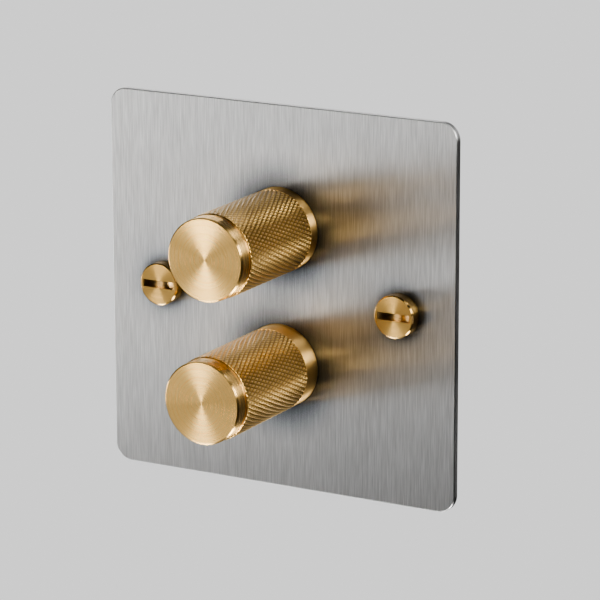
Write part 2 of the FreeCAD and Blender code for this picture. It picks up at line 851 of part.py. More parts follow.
def power_transistors(gang, up, out):
    """Two flat packages that stand against the heat sink on three legs each."""
    body = new_body(f"{gang}_power_transistors", up)
    middle = "sink_x - sink_thick / 2 - transistor_thick / 2"
    legs = new_sketch(body, f"{BOARD_BACK} - (sink_depth - transistor_depth)")
    cases = new_sketch(body, f"{BOARD_BACK} - sink_depth")
    for sign in SIDES:
        centre = f"{sign} * transistor_y"
        rectangle(cases, "transistor_thick", "transistor_width", middle, centre)
        for leg in (-1, 0, 1):
            rectangle(legs, "leg_side", "leg_side", middle, f"{centre} + {leg} * leg_pitch")
    pad(body, cases, "transistor_depth")
    pad(body, legs, "sink_depth - transistor_depth")
    return body


def choke_core(gang, up, out):
    back = f"({BOARD_BACK} - choke_depth)"
    body = turned(f"{gang}_choke_core", [
        ("0", back),
        ("choke_radius", back),
        ("choke_radius", f"{back} + choke_flange"),
        ("choke_core", f"{back} + choke_flange"),
        ("choke_core", f"{BOARD_BACK} - choke_flange"),
        ("choke_radius", f"{BOARD_BACK} - choke_flange"),
        ("choke_radius", BOARD_BACK),
        ("0", BOARD_BACK),
    ], f"{up} + choke_y")
    bind(body, "Placement.Base.x", "parts_x")
    return body


def choke_winding(gang, up, out):
    """The copper winding as one ring that fills the bobbin to a little below its flanges."""
    low, high = f"{BOARD_BACK} - choke_depth + choke_flange", f"{BOARD_BACK} - choke_flange"
    rim = "choke_radius - 4 * small_gap"
    points = [("choke_core", low), (rim, low), (rim, high), ("choke_core", high)]
    body = turned(f"{gang}_choke_winding", points, f"{up} + choke_y")
    bind(body, "Placement.Base.x", "parts_x")
    return body


def capacitor(gang, up, out):
    body = new_body(f"{gang}_capacitor", up)
    box = new_sketch(body, f"{BOARD_BACK} - capacitor_depth")
    rectangle(box, "capacitor_width", "capacitor_height", "parts_x", "-capacitor_y")
    pad(body, box, "capacitor_depth")
    round_corners(body, "plate_edge")
    return body


# ---------------------------------------------------------------------------------------------------------
# The assembly
# ---------------------------------------------------------------------------------------------------------
PLATE_PARTS = (
    face_plate,
    gasket,
    plate_studs,
    insulating_sheet,
    mounting_frame,
    frame_nuts,
    screw_retainers,
    earth_terminal,
    earth_screw,
    bush_nuts,
    lock_washers,
)
GANG_PARTS = (
    knob_cap,
    knob_body,
    knob_insert,
    spindle,
    control_bush,
    pot_housing,
    resistance_track,
    wiper_rotor,
    wiper_contact,
    circuit_board,
    push_switch_body,
    switch_plunger,
    return_spring,
    module_case,
    rear_cover,
    terminal_block,
    terminal_clamps,
    terminal_screws,
    heat_sink,
    power_transistors,
    choke_core,
    choke_winding,
    capacitor,
)

parts = [make() for make in PLATE_PARTS]
parts.append(fixing_screw("fixing_screw_left", -1))
parts.append(fixing_screw("fixing_screw_right", 1))
for gang, (up, out) in GANGS.items():
    parts += [make(gang, up, out) for make in GANG_PARTS]
doc.recompute()

for item in doc.Objects:
    if "Invalid" in item.State or "Error" in item.State:
        raise RuntimeError(f"{item.Label} failed: {item.State}")
for item in parts:
    if item.Shape.isNull() or not item.Shape.isValid() or item.Shape.Volume <= 0:
        raise RuntimeError(f"{item.Label} has no valid solid")

os.makedirs("parts", exist_ok=True)
for item in parts:
    item.Shape.exportStep(f"parts/{item.Label}.step")
print(len(parts), "nodes written")
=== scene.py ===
"""Visual model of the two-gang rotary dimmer switch.

Everything is in metres in the row frame: +X to the right seen from the room, +Z up, +Y into the wall.
Turned pieces are drawn as (radius, depth) pairs in millimetres, depth growing into the wall from the
piece's front, about a Y axis through the object's origin.
"""
import json
import math

import bmesh
import bpy
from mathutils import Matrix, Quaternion, Vector


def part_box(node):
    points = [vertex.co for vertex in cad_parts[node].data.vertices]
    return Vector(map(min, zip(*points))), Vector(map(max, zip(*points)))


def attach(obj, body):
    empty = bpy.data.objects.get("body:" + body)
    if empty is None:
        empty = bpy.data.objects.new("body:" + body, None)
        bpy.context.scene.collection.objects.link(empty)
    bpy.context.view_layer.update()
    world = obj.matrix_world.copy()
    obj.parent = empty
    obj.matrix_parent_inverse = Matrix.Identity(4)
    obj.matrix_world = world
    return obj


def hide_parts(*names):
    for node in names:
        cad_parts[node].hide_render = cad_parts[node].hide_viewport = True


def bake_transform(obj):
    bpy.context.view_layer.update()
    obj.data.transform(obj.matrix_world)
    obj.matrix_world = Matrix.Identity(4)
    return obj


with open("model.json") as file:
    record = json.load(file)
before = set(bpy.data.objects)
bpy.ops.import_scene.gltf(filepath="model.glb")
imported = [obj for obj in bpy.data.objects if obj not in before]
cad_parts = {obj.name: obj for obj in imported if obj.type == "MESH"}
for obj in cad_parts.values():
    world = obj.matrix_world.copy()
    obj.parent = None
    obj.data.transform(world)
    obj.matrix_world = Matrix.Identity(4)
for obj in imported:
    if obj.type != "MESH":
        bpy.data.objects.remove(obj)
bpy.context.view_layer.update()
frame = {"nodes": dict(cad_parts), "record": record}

MM = 0.001
GANGS = ("upper", "lower")
SLOT_OF = {row["node"]: row["material_slot"] for row in frame["record"]["subparts"]}

# ---------------------------------------------------------------------------------------------------------
# Camera, light and stage
# ---------------------------------------------------------------------------------------------------------
SENSOR = 36.0
CAMERA_LENS = 204.4
CAMERA_PLACE = Vector((0.3649, -0.6427, 0.1933))
CAMERA_AIM = Vector((0.0034, 0.0011, -0.0008))
CAMERA_ROLL = math.radians(-0.16)
BACKGROUND = 0.89
AMBIENT = 0.02
FLOOR_HEIGHT = -1.2
FLOOR_REACH = 6.0
FLOOR_PAINT = 0.6


def make_camera():
    lens = bpy.data.cameras.new("camera")
    lens.sensor_width = SENSOR
    lens.lens = CAMERA_LENS
    lens.clip_start = 0.05
    camera = bpy.data.objects.new("camera", lens)
    bpy.context.scene.collection.objects.link(camera)
    sight = (CAMERA_AIM - CAMERA_PLACE).normalized()
    camera.location = CAMERA_PLACE
    camera.rotation_mode = "QUATERNION"
    camera.rotation_quaternion = Quaternion(-sight, CAMERA_ROLL) @ sight.to_track_quat("-Z", "Y")
    bpy.context.scene.camera = camera


def softbox(name, place, width, height, radiance):
    """A rectangular area light that faces the origin and that the camera doesn't see."""
    lamp = bpy.data.lights.new(name, "AREA")
    lamp.shape = "RECTANGLE"
    lamp.size = width
    lamp.size_y = height
    lamp.energy = radiance * math.pi * width * height
    box = bpy.data.objects.new(name, lamp)
    bpy.context.scene.collection.objects.link(box)
    box.location = place
    box.rotation_euler = (-place).to_track_quat("-Z", "Y").to_euler()
    box.visible_camera = False


def make_world():
    """A dim even studio for light and reflections, and a plain pale grey behind the object."""
    world = bpy.data.worlds.new("studio")
    bpy.context.scene.world = world
    world.use_nodes = True
    tree = world.node_tree
    tree.nodes.clear()
    studio = tree.nodes.new("ShaderNodeBackground")
    studio.inputs["Color"].default_value = (AMBIENT, AMBIENT, AMBIENT, 1)
    backdrop = tree.nodes.new("ShaderNodeBackground")
    backdrop.inputs["Color"].default_value = (BACKGROUND, BACKGROUND, BACKGROUND, 1)
    seen = tree.nodes.new("ShaderNodeLightPath")
    mix = tree.nodes.new("ShaderNodeMixShader")
    output = tree.nodes.new("ShaderNodeOutputWorld")
    tree.links.new(seen.outputs["Is Camera Ray"], mix.inputs["Fac"])
    tree.links.new(studio.outputs["Background"], mix.inputs[1])
    tree.links.new(backdrop.outputs["Background"], mix.inputs[2])
    tree.links.new(mix.outputs["Shader"], output.inputs["Surface"])


def make_floor():
    """A plain pale floor, as even as the backdrop to the eye and a diffuse reflector to the light."""
    mesh = bpy.data.meshes.new("floor")
    signs = ((-1, -1), (1, -1), (1, 1), (-1, 1))
    corners = [(x * FLOOR_REACH, y * FLOOR_REACH, FLOOR_HEIGHT) for x, y in signs]
    mesh.from_pydata(corners, [], [(0, 1, 2, 3)])
    material = bpy.data.materials.new("floor_paint")
    material.use_nodes = True
    tree = material.node_tree
    tree.nodes.clear()
    paint = tree.nodes.new("ShaderNodeBsdfDiffuse")
    paint.inputs["Color"].default_value = (FLOOR_PAINT, FLOOR_PAINT, FLOOR_PAINT, 1)
    glow = tree.nodes.new("ShaderNodeEmission")
    glow.inputs["Color"].default_value = (BACKGROUND, BACKGROUND, BACKGROUND, 1)
    seen = tree.nodes.new("ShaderNodeLightPath")
    mix = tree.nodes.new("ShaderNodeMixShader")
    output = tree.nodes.new("ShaderNodeOutputMaterial")
    tree.links.new(seen.outputs["Is Camera Ray"], mix.inputs["Fac"])
    tree.links.new(paint.outputs["BSDF"], mix.inputs[1])
    tree.links.new(glow.outputs["Emission"], mix.inputs[2])
    tree.links.new(mix.outputs["Shader"], output.inputs["Surface"])
    mesh.materials.append(material)
    floor = bpy.data.objects.new("floor", mesh)
    bpy.context.scene.collection.objects.link(floor)


SOFTBOX_DISTANCE = 0.5
PANEL = (0.20, 0.15)
TALL_PANEL = (0.20, 0.30)
# Azimuth from the front towards +X and elevation, both in degrees, then size in metres and radiance
SOFTBOXES = {
    "front_key": (-30, 10, PANEL, 15),
    "front_fill": (-30, -10, TALL_PANEL, 1),
    "left_side": (-80, -12, PANEL, 15),
    "left_floor": (-60, -60, PANEL, 30),
    "right_front": (50, 15, PANEL, 4),
    "right_side": (85, 20, PANEL, 30),
    "right_top": (85, 55, PANEL, 10),
    "right_floor": (60, -65, PANEL, 15),
    "rear_floor": (130, -65, PANEL, 25),
    "back_left": (-150, 25, TALL_PANEL, 4),
    "back_right": (150, 25, TALL_PANEL, 4),
}


def make_lights():
    for name, (azimuth, elevation, (width, height), radiance) in SOFTBOXES.items():
        across, up = math.radians(azimuth), math.radians(elevation)
        ray = Vector((math.sin(across) * math.cos(up), -math.cos(across) * math.cos(up), math.sin(up)))
        softbox(name, SOFTBOX_DISTANCE * ray, width, height, radiance)


make_camera()
make_world()
make_floor()
make_lights()
bpy.context.scene.view_settings.view_transform = "AgX"
bpy.context.scene.view_settings.look = "AgX - Medium High Contrast"


# ---------------------------------------------------------------------------------------------------------
# Materials
# ---------------------------------------------------------------------------------------------------------
class Shade:
    """One material's node tree, round a Principled shader. Texture sizes are in millimetres."""

    def __init__(self, name, metallic=0.0, roughness=0.5, **sockets):
        self.material = bpy.data.materials.new(name)
        self.material.use_nodes = True
        self.tree = self.material.node_tree
        self.tree.nodes.clear()
        self.surface = self.add("ShaderNodeBsdfPrincipled")
        output = self.add("ShaderNodeOutputMaterial")
        self.link(self.surface.outputs["BSDF"], output.inputs["Surface"])
        self.place = self.add("ShaderNodeTexCoord").outputs["Object"]
        self.surface.inputs["Metallic"].default_value = metallic
        self.surface.inputs["Roughness"].default_value = roughness
        for socket, number in sockets.items():
            self.surface.inputs[socket.replace("_", " ")].default_value = number

    def add(self, kind, **settings):
        node = self.tree.nodes.new(kind)
        for setting, choice in settings.items():
            setattr(node, setting, choice)
        return node

    def link(self, source, target):
        self.tree.links.new(source, target)

    def math(self, operation, first, second=0.0):
        node = self.add("ShaderNodeMath", operation=operation)
        for socket, item in zip(node.inputs, (first, second)):
            if isinstance(item, (int, float)):
                socket.default_value = item
            else:
                self.link(item, socket)
        return node.outputs["Value"]

    def noise(self, size, detail=3.0, place=None):
        """Noise whose features are size millimetres along X, Y and Z, or along place's three numbers."""
        mapping = self.add("ShaderNodeMapping")
        mapping.inputs["Scale"].default_value = [1 / (MM * length) for length in size]
        self.link(place or self.place, mapping.inputs["Vector"])
        texture = self.add("ShaderNodeTexNoise")
        texture.inputs["Scale"].default_value = 1.0
        texture.inputs["Detail"].default_value = detail
        self.link(mapping.outputs["Vector"], texture.inputs["Vector"])
        return texture.outputs["Fac"]

    def range(self, source, low, high, start=0.0, end=1.0):
        """Takes numbers from start to end to numbers from low to high."""
        node = self.add("ShaderNodeMapRange")
        self.link(source, node.inputs["Value"])
        for socket, number in (("From Min", start), ("From Max", end), ("To Min", low), ("To Max", high)):
            node.inputs[socket].default_value = number
        return node.outputs["Result"]

    def ramp(self, source, *stops):
        node = self.add("ShaderNodeValToRGB")
        points = node.color_ramp.elements
        while len(points) < len(stops):
            points.new(1.0)
        for point, (position, colour) in zip(points, stops):
            point.position = position
            point.color = (*colour, 1)
        self.link(source, node.inputs["Fac"])
        return node.outputs["Color"]

    def multiply(self, first, second):
        node = self.add("ShaderNodeMix", data_type="RGBA", blend_type="MULTIPLY")
        node.inputs["Factor"].default_value = 1.0
        self.link(first, node.inputs["A"])
        self.link(second, node.inputs["B"])
        return node.outputs["Result"]

    def colour(self, source):
        self.link(source, self.surface.inputs["Base Color"])

    def roughness(self, source):
        self.link(source, self.surface.inputs["Roughness"])

    def bump(self, *layers):
        """Raises the surface by each (height, distance in millimetres) in turn."""
        normal = None
        for height, distance in layers:
            node = self.add("ShaderNodeBump")
            node.inputs["Distance"].default_value = distance * MM
            self.link(height, node.inputs["Height"])
            if normal:
                self.link(normal, node.inputs["Normal"])
            normal = node.outputs["Normal"]
        self.link(normal, self.surface.inputs["Normal"])


# How near another part the plate's colour is darkened as painted shade, in millimetres
PAINTED_SHADE_REACH = 9


def brushed_steel(name):
    """Stainless steel brushed upwards, so highlights spread sideways.

    Its colour is darkened close to other parts, by ambient occlusion, as painted shade, and on its cut edges,
    by which way they face, as painted shade.
    """
    shade = Shade(name, metallic=1.0, Anisotropic=0.88)
    fine = shade.noise((0.15, 0.15, 6), 3)
    broad = shade.noise((0.7, 0.7, 26), 3)
    cloud = shade.noise((22, 22, 40), 2)
    streaks = shade.math("ADD", shade.math("MULTIPLY", fine, 0.88), shade.math("MULTIPLY", broad, 0.12))
    brushed = shade.ramp(streaks, (0.32, (0.47, 0.466, 0.458)), (0.68, (0.73, 0.724, 0.712)))
    # Painted shade: the colour darkens, with a bluish tint, where ambient occlusion finds another part within
    # reach
    closeness = shade.add("ShaderNodeAmbientOcclusion", samples=8)
    closeness.inputs["Distance"].default_value = PAINTED_SHADE_REACH * MM
    painted_contact_shade = shade.ramp(
        closeness.outputs["AO"],
        (0.45, (0.03, 0.034, 0.04)),
        (0.72, (0.30, 0.325, 0.36)),
        (0.93, (0.89, 0.91, 0.94)),
        (1.0, (1.0, 1.0, 1.0)),
    )
    # Painted shade: the colour darkens on faces that don't face along Y, which are the plate's side edges
    # and, partly, its chamfers
    facing = shade.add("ShaderNodeSeparateXYZ")
    shade.link(shade.add("ShaderNodeTexCoord").outputs["Normal"], facing.inputs["Vector"])
    flatness = shade.math("ABSOLUTE", facing.outputs["Y"])
    edges = shade.ramp(flatness, (0.4, (0.22, 0.22, 0.22)), (0.9, (1.0, 1.0, 1.0)))
    shade.colour(shade.multiply(shade.multiply(brushed, painted_contact_shade), edges))
    shade.roughness(shade.range(shade.math("ADD", streaks, cloud), 0.34, 0.46, 0.6, 1.4))
    shade.bump((fine, 0.004), (broad, 0.002))
    across = shade.add("ShaderNodeCombineXYZ")
    for axis, number in (("X", 1.0), ("Y", 0.02), ("Z", 0.02)):
        across.inputs[axis].default_value = number
    shade.link(across.outputs["Vector"], shade.surface.inputs["Tangent"])
    return shade.material


def around_axis(shade):
    """A place's x, y and z, and its distance from the Y axis, all in metres."""
    parts = shade.add("ShaderNodeSeparateXYZ")
    shade.link(shade.place, parts.inputs["Vector"])
    x, y, z = (parts.outputs[axis] for axis in "XYZ")
    squares = shade.math("ADD", shade.math("MULTIPLY", x, x), shade.math("MULTIPLY", z, z))
    radius = shade.math("SQRT", squares)
    return x, y, z, radius


def turned_brass(name, light, dark, roughness):
    """Brass turned on a lathe: fine rings on faces and sides, with highlights spread across them."""
    shade = Shade(name, metallic=1.0, Anisotropic=0.9, Anisotropic_Rotation=0.25)
    x, y, z, radius = around_axis(shade)
    rings = shade.add("ShaderNodeCombineXYZ")
    safe = shade.math("MAXIMUM", radius, 0.02 * MM)
    shade.link(shade.math("ADD", radius, y), rings.inputs["X"])
    shade.link(shade.math("MULTIPLY", shade.math("DIVIDE", x, safe), MM), rings.inputs["Y"])
    shade.link(shade.math("MULTIPLY", shade.math("DIVIDE", z, safe), MM), rings.inputs["Z"])
    fine = shade.noise((0.10, 3, 3), 3, rings.outputs["Vector"])
    broad = shade.noise((0.55, 3, 3), 2, rings.outputs["Vector"])
    both = shade.math("ADD", shade.math("MULTIPLY", fine, 0.6), shade.math("MULTIPLY", broad, 0.4))
    shade.colour(shade.ramp(both, (0.3, dark), (0.7, light)))
    shade.roughness(shade.range(both, roughness - 0.04, roughness + 0.05, 0.3, 0.7))
    shade.bump((fine, 0.0012), (broad, 0.001))
    tangent = shade.add("ShaderNodeTangent", direction_type="RADIAL", axis="Y")
    shade.link(tangent.outputs["Tangent"], shade.surface.inputs["Tangent"])
    return shade.material


def milled_brass(name, light, dark):
    """The floor and walls of a sawn slot: fine lines along X, so highlights spread up and down."""
    shade = Shade(name, metallic=1.0, Anisotropic=0.8)
    lines = shade.noise((4, 0.12, 0.12), 3)
    shade.colour(shade.ramp(lines, (0.3, dark), (0.7, light)))
    shade.roughness(shade.range(lines, 0.26, 0.36, 0.3, 0.7))
    shade.bump((lines, 0.004))
    up = shade.add("ShaderNodeCombineXYZ")
    for axis, number in (("X", 0.02), ("Y", 0.02), ("Z", 1.0)):
        up.inputs[axis].default_value = number
    shade.link(up.outputs["Vector"], shade.surface.inputs["Tangent"])
    return shade.material


def knurled_brass(name, root, tip):
    """Knurled brass, darker in its grooves than on its points."""
    shade = Shade(name, metallic=1.0)
    radius = around_axis(shade)[3]
    speck = shade.noise((0.25, 0.25, 0.25), 3)
    height = shade.range(radius, 0.0, 1.0, root * MM, tip * MM)
    worn = shade.math("ADD", height, shade.math("MULTIPLY", shade.math("SUBTRACT", speck, 0.5), 0.35))
    shade.colour(shade.ramp(
        worn,
        (0.0, (0.36, 0.21, 0.060)),
        (0.45, (0.66, 0.43, 0.15)),
        (0.9, (0.84, 0.58, 0.25)),
    ))
    shade.roughness(shade.range(speck, 0.24, 0.36))
    shade.bump((speck, 0.004))
    return shade.material


def plain_metal(name, dark, light, roughness, grain=0.4):
    """A plated, cast or rolled metal with a faint mottle."""
    shade = Shade(name, metallic=1.0)
    mottle = shade.noise((grain * 6, grain * 6, grain * 6), 4)
    speck = shade.noise((grain, grain, grain), 3)
    shade.colour(shade.ramp(mottle, (0.3, dark), (0.7, light)))
    shade.roughness(shade.range(speck, roughness - 0.06, roughness + 0.08))
    shade.bump((speck, 0.006))
    return shade.material


def moulded(name, dark, light, roughness, grain=0.25, depth=0.02):
    """A moulded plastic with a spark-eroded skin."""
    shade = Shade(name, roughness=roughness)
    skin = shade.noise((grain, grain, grain), 4)
    flow = shade.noise((9, 9, 9), 2)
    shade.colour(shade.ramp(flow, (0.35, dark), (0.65, light)))
    shade.roughness(shade.range(skin, roughness - 0.07, roughness + 0.1))
    shade.bump((skin, depth))
    return shade.material


def board_mask(name):
    """Solder mask over copper: straight tracks that show a little lighter."""
    shade = Shade(name, roughness=0.35, Coat_Weight=0.3)
    tracks = shade.add("ShaderNodeTexBrick")
    mapping = shade.add("ShaderNodeMapping")
    mapping.inputs["Rotation"].default_value = (math.radians(90), 0, 0)
    shade.link(shade.place, mapping.inputs["Vector"])
    shade.link(mapping.outputs["Vector"], tracks.inputs["Vector"])
    for socket, number in (("Scale", 160), ("Mortar Size", 0.03), ("Brick Width", 1.3), ("Row Height", 0.35)):
        tracks.inputs[socket].default_value = number
    for socket, colour in (
        ("Color1", (0.015, 0.11, 0.045)),
        ("Color2", (0.02, 0.13, 0.05)),
        ("Mortar", (0.05, 0.26, 0.10)),
    ):
        tracks.inputs[socket].default_value = (*colour, 1)
    shade.colour(tracks.outputs["Color"])
    shade.bump((tracks.outputs["Fac"], 0.03))
    return shade.material


def wound_copper(name):
    """Enamelled wire: rings round the winding's Y axis."""
    shade = Shade(name, metallic=1.0, Coat_Weight=0.6)
    parts = shade.add("ShaderNodeSeparateXYZ")
    shade.link(shade.place, parts.inputs["Vector"])
    turns = shade.math("SINE", shade.math("MULTIPLY", parts.outputs["Y"], 2 * math.pi / (0.45 * MM)))
    level = shade.range(turns, 0.0, 1.0, -1.0, 1.0)
    shade.colour(shade.ramp(level, (0.0, (0.18, 0.05, 0.02)), (0.8, (0.68, 0.28, 0.12))))
    shade.roughness(shade.range(shade.noise((0.8, 0.8, 0.8)), 0.22, 0.36))
    shade.bump((level, 0.12))
    return shade.material


BRASS_LIGHT = (0.83, 0.545, 0.210)
BRASS_DARK = (0.76, 0.470, 0.155)
KNURL_ROOT, KNURL_TIP = 9.38, 9.60
MATERIALS = {
    "brushed_plate": brushed_steel("brushed_plate"),
    "screw_brass": turned_brass("screw_brass", (0.56, 0.360, 0.130), (0.45, 0.272, 0.080), 0.22),
    "cap_brass": turned_brass("cap_brass", BRASS_LIGHT, BRASS_DARK, 0.27),
    "grip_brass": knurled_brass("grip_brass", KNURL_ROOT, KNURL_TIP),
    "plated_steel": plain_metal("plated_steel", (0.52, 0.51, 0.46), (0.70, 0.68, 0.60), 0.34),
    "frame_steel": plain_metal("frame_steel", (0.50, 0.51, 0.52), (0.66, 0.66, 0.66), 0.38, 0.8),
    "sheet_film": moulded("sheet_film", (0.018, 0.018, 0.02), (0.03, 0.03, 0.033), 0.45, 0.5, 0.01),
    "gasket_rubber": moulded("gasket_rubber", (0.012, 0.012, 0.012), (0.026, 0.026, 0.026), 0.75, 0.3, 0.05),
    "natural_nylon": moulded("natural_nylon", (0.70, 0.67, 0.58), (0.80, 0.78, 0.70), 0.42, 0.6, 0.01),
    "terminal_brass": plain_metal("terminal_brass", (0.66, 0.46, 0.17), (0.80, 0.60, 0.27), 0.32),
    "bush_alloy": plain_metal("bush_alloy", (0.46, 0.46, 0.47), (0.62, 0.62, 0.63), 0.38),
    "spindle_alloy": plain_metal("spindle_alloy", (0.66, 0.66, 0.68), (0.78, 0.78, 0.80), 0.26),
    "pot_plastic": moulded("pot_plastic", (0.010, 0.013, 0.022), (0.018, 0.022, 0.034), 0.40),
    "carbon_film": moulded("carbon_film", (0.008, 0.008, 0.008), (0.016, 0.016, 0.016), 0.60),
    "rotor_plastic": moulded("rotor_plastic", (0.62, 0.60, 0.53), (0.70, 0.68, 0.62), 0.42),
    "contact_bronze": plain_metal("contact_bronze", (0.62, 0.34, 0.14), (0.78, 0.48, 0.24), 0.28),
    "board_laminate": board_mask("board_laminate"),
    "switch_plastic": moulded("switch_plastic", (0.010, 0.010, 0.011), (0.018, 0.018, 0.020), 0.42),
    "plunger_plastic": moulded("plunger_plastic", (0.56, 0.55, 0.50), (0.66, 0.65, 0.60), 0.40),
    "spring_steel": plain_metal("spring_steel", (0.62, 0.62, 0.64), (0.74, 0.74, 0.76), 0.20, 0.2),
    "case_plastic": moulded("case_plastic", (0.016, 0.016, 0.017), (0.027, 0.027, 0.029), 0.50, 0.30, 0.03),
    "cover_plastic": moulded("cover_plastic", (0.024, 0.024, 0.026), (0.040, 0.040, 0.043), 0.48, 0.30, 0.03),
    "terminal_plastic": moulded("terminal_plastic", (0.26, 0.27, 0.28), (0.36, 0.37, 0.38), 0.45),
    "sink_aluminium": plain_metal("sink_aluminium", (0.66, 0.66, 0.68), (0.80, 0.80, 0.81), 0.34, 0.7),
    "device_epoxy": moulded("device_epoxy", (0.010, 0.010, 0.010), (0.020, 0.020, 0.020), 0.55),
    "ferrite": moulded("ferrite", (0.022, 0.021, 0.020), (0.050, 0.048, 0.045), 0.58, 0.4, 0.05),
    "copper_wire": wound_copper("copper_wire"),
    "film_box": moulded("film_box", (0.55, 0.34, 0.015), (0.70, 0.46, 0.03), 0.30, 0.8, 0.006),
}
GRIP_TURNING = turned_brass("grip_turning", BRASS_LIGHT, BRASS_DARK, 0.36)
SLOT_MILLING = milled_brass("slot_milling", (0.46, 0.30, 0.13), (0.28, 0.17, 0.06))
THREAD_ROLLING = plain_metal("thread_rolling", (0.50, 0.31, 0.10), (0.66, 0.43, 0.16), 0.34)

# ---------------------------------------------------------------------------------------------------------
# Mesh helpers
# ---------------------------------------------------------------------------------------------------------
RING_SEGMENTS = 192
THREAD_SEGMENTS = 64
BUSH_SEGMENTS = 96
CUTTER_SEGMENTS = 256
SHARP_ANGLE = math.radians(15)
BEVEL_ANGLE = math.radians(50)
WELD_REACH = 1e-6
FINE_EASE = 0.03
BUSH_EASE = 0.08
EASE_SHARE = 0.25
# How far a thread or a knurl reaches under the surface it sits on, and how near the axis counts as on it
OVERLAP = 0.05
ON_AXIS = 1e-6


def on_ring(radius, depth, angle):
    """A point from millimetres: radius from the Y axis, depth along it, and an angle from +X towards +Z."""
    return Vector((radius * math.cos(angle), depth, radius * math.sin(angle))) * MM


def eased(profile, ease):
    """The closed profile with each corner cut back by ease millimetres, or less on a short side."""
    points = [Vector(point) for point in profile]
    cut_back = []
    for step, corner in enumerate(points):
        before, after = points[step - 1], points[(step + 1) % len(points)]
        if corner.x < ON_AXIS:
            cut_back.append(corner)
            continue
        for other in (before, after):
            side = other - corner
            cut_back.append(corner + side * min(ease / side.length, EASE_SHARE))
    return cut_back


def turn(mesh, profile, segments=RING_SEGMENTS):
    """Adds a closed turned solid to a bmesh from a closed outline of (radius, depth) pairs."""
    rings = []
    for radius, depth in profile:
        if radius < ON_AXIS:
            rings.append([mesh.verts.new(on_ring(0, depth, 0))])
        else:
            angles = [2 * math.pi * step / segments for step in range(segments)]
            rings.append([mesh.verts.new(on_ring(radius, depth, angle)) for angle in angles])
    for first, second in zip(rings, rings[1:] + rings[:1]):
        if len(first) == 1 and len(second) == 1:
            continue
        for step in range(segments):
            following = (step + 1) % segments
            corners = [first[step % len(first)], first[following % len(first)]]
            corners += [second[following % len(second)], second[step % len(second)]]
            mesh.faces.new(dict.fromkeys(corners)).smooth = True


def join(mesh, part, material=0, smooth=False):
    """Moves a finished bmesh into another one.

    Cutting and bridging leave faces in an order that changes from run to run, so they are sorted here.
    """
    part.verts.index_update()
    corners = [mesh.verts.new(vertex.co) for vertex in part.verts]
    for outline in sorted([vertex.index for vertex in face.verts] for face in part.faces):
        face = mesh.faces.new([corners[index] for index in outline])
        face.material_index = material
        face.smooth = smooth
    part.free()


def cut_across(part, depth, drop_behind=False, drop_in_front=False):
    """Cuts every face at a depth in millimetres and drops what lies on one side, if asked to."""
    bmesh.ops.bisect_plane(
        part,
        geom=part.verts[:] + part.edges[:] + part.faces[:],
        dist=1e-8,
        plane_co=(0, depth * MM, 0),
        plane_no=(0, 1, 0),
        clear_outer=drop_behind,
        clear_inner=drop_in_front,
    )


def close_inside(part, radius):
    """Closes a sleeve with a flat at each end and a bore of this radius."""
    rims = [edge for edge in part.edges if edge.is_boundary]
    grown = bmesh.ops.extrude_edge_only(part, edges=rims)["geom"]
    for vertex in (item for item in grown if isinstance(item, bmesh.types.BMVert)):
        scale = radius * MM / math.hypot(vertex.co.x, vertex.co.z)
        vertex.co.x *= scale
        vertex.co.z *= scale
    bmesh.ops.bridge_loops(part, edges=[edge for edge in part.edges if edge.is_boundary])
    bmesh.ops.recalc_face_normals(part, faces=part.faces)


def screw_thread(mesh, radius, pitch, depth, start, end, bore):
    """Adds a helical thread between two depths, closed round a bore that its core hides."""
    # Shares of the pitch and how far the surface lies under the crest there
    section = ((0.0, 0.0), (0.14, 0.0), (0.46, depth), (0.60, depth))
    segments = THREAD_SEGMENTS
    turns = math.ceil((end - start) / pitch) + 1
    helix = bmesh.new()
    rows = []
    # It starts two turns early and ends late, and the two cuts take off what is too much
    for turn_number in range(-2, turns + 1):
        for share, drop in section:
            row = []
            for step in range(segments):
                along = start + (turn_number + share + step / segments) * pitch
                angle = 2 * math.pi * step / segments
                row.append(helix.verts.new(on_ring(radius - drop, along, angle)))
            rows.append(row)
    for number in range(len(rows) - len(section) - 1):
        for step in range(segments):
            if step + 1 < segments:
                ahead = (rows[number][step + 1], rows[number + 1][step + 1])
            else:
                ahead = (rows[number + len(section)][0], rows[number + len(section) + 1][0])
            helix.faces.new((rows[number][step], ahead[0], ahead[1], rows[number + 1][step]))
    cut_across(helix, start, drop_in_front=True)
    cut_across(helix, end, drop_behind=True)
    close_inside(helix, bore)
    join(mesh, helix, smooth=True)


def finished(name, mesh, materials, place, replaced, body):
    """Turns a bmesh into a named piece that stands for a CAD node and rides on a body, if one is given."""
    bmesh.ops.recalc_face_normals(mesh, faces=mesh.faces)
    data = bpy.data.meshes.new(name)
    mesh.to_mesh(data)
    mesh.free()
    data.set_sharp_from_angle(angle=SHARP_ANGLE)
    for material in materials:
        data.materials.append(material)
    piece = bpy.data.objects.new(name, data)
    bpy.context.scene.collection.objects.link(piece)
    piece.location = place
    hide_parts(replaced)
    if body:
        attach(piece, body)
    return piece


def axis_front(node):
    """The middle of a node's front, where its turned outline starts."""
    low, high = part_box(node)
    return Vector(((low.x + high.x) / 2, low.y, (low.z + high.z) / 2))


# ---------------------------------------------------------------------------------------------------------
# Knobs
# ---------------------------------------------------------------------------------------------------------
# Radii, lengths and depths from the knob's front, in millimetres
CAP_LENGTH = 3.1
LIP_FRONT = 3.36
LIP_LENGTH = 0.28
GRIP_FRONT = 3.8
GRIP_BACK = 29.9
GRIP_LENGTH = GRIP_BACK - GRIP_FRONT
BAND_RADIUS = 9.52
LIP_RADIUS = 9.3
NECK_RADIUS = 9.1
KNURL_STARTS = 60
KNURL_ROWS = 23
KNURL_POINT = 0.15
GRIP_CHAMFER = 0.3
CHAMFER_STEPS = 4
CORE_RADIUS = 9.0
CORE_FRONT = GRIP_FRONT + 0.1
SPIGOT_RADIUS = 7.0


